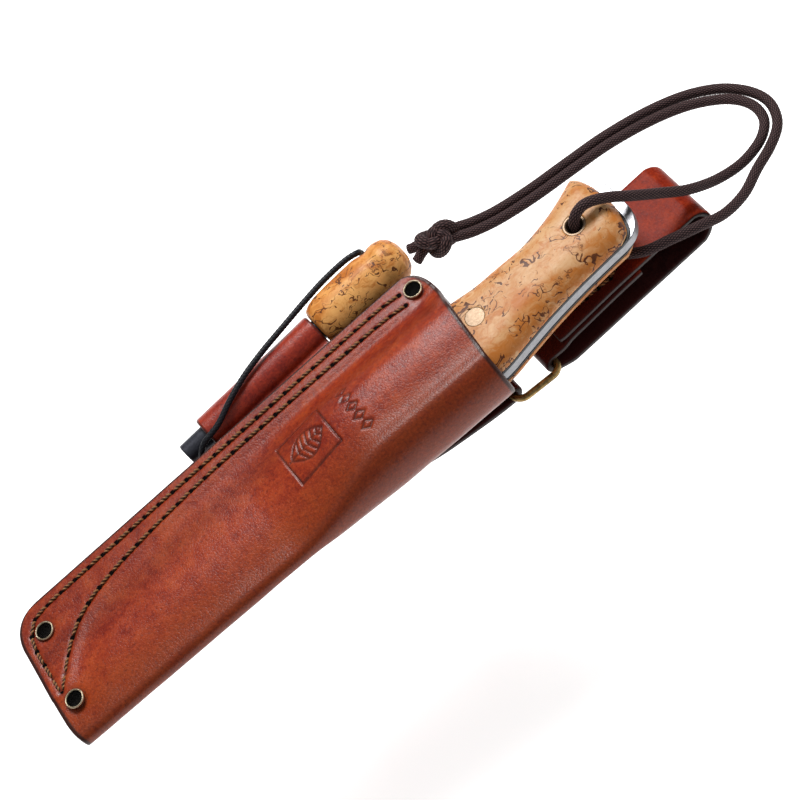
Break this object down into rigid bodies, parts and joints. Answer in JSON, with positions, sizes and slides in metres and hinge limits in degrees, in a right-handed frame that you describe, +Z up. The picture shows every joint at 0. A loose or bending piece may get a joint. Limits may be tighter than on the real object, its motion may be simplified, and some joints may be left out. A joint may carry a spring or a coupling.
{
  "type": "whittling knife with belt sheath and fire steel",
  "caption": "Full-tang whittling knife with burl scales and a cord lanyard, in a welted leather sheath with a fire steel in a side sleeve and a belt loop on a ring.",
  "frame": {"origin": "bottom centre of the whole object lying on its back, without the free lanyard", "axes": "+Z up off the table, +X from the sheath's tip to the knife's pommel, +Y from the folded spine to the stitched edge"},
  "size_m": [0.3429, 0.0953, 0.0497],
  "materials": {
    "sheath_leather": "semi-gloss oiled red-brown, paler where it is pulled up",
    "strap_leather": "semi-gloss oiled orange-brown with dark burnished edges",
    "thread": "waxed olive-tan two-ply thread",
    "antique_brass": "darkened, worn bright on the high spots",
    "bright_brass": "sanded flush, satin",
    "tool_steel": "satin ground flats with a finely ground bevel",
    "liner_fibre": "black vulcanised fibre",
    "birch_burl": "oiled and sanded",
    "paracord": "matte dark brown",
    "elastic_cord": "matte black",
    "ferrocerium": "dark grey, half matte"
  },
  "bodies": {
    "sheath": {"pouch": "sheath_leather", "welt": "sheath_leather", "outer_stitching_front": "thread", "inner_stitching_front": "thread", "outer_stitching_back": "thread", "inner_stitching_back": "thread", "eyelet_mouth": "antique_brass", "eyelet_corner": "antique_brass", "eyelet_tip": "antique_brass", "back_tab": "strap_leather", "tab_stitching": "thread", "firesteel_sleeve": "sheath_leather", "elastic_loop": "elastic_cord"},
    "ring": {"dangler_ring": "antique_brass"},
    "belt_hanger": {"belt_loop": "strap_leather", "belt_loop_stitching": "thread"},
    "knife": {"blade": "tool_steel", "liner_front": "liner_fibre", "liner_back": "liner_fibre", "scale_front": "birch_burl", "scale_back": "birch_burl", "pin_rear": "bright_brass", "pin_front": "bright_brass", "lanyard_tube": "bright_brass", "lanyard_front": "paracord", "lanyard_back": "paracord", "lanyard_knot": "paracord", "tail_outer": "paracord", "tail_inner": "paracord"},
    "fire_steel": {"ferro_rod": "ferrocerium", "firesteel_handle": "birch_burl"}
  },
  "joints": [
    {"name": "knife_draw", "type": "slide", "parent": "sheath", "child": "knife", "axis": [0.9945, 0, 0.1045], "range_m": [0, 0.19]},
    {"name": "firesteel_pull", "type": "slide", "parent": "sheath", "child": "fire_steel", "axis": [0.9935, 0.0449, 0.1044], "range_m": [0, 0.07], "deforming": ["elastic_loop"]},
    {"name": "ring_swing", "type": "hinge", "parent": "sheath", "child": "ring", "pos_m": [0.0484, -0.0198, 0.00445], "axis": [0, 1, 0], "range_deg": [0, 90]},
    {"name": "belt_loop_swing", "type": "hinge", "parent": "ring", "child": "belt_hanger", "pos_m": [0.0682, -0.0198, 0.00445], "axis": [0, 1, 0], "range_deg": [0, 90]}
  ]
}
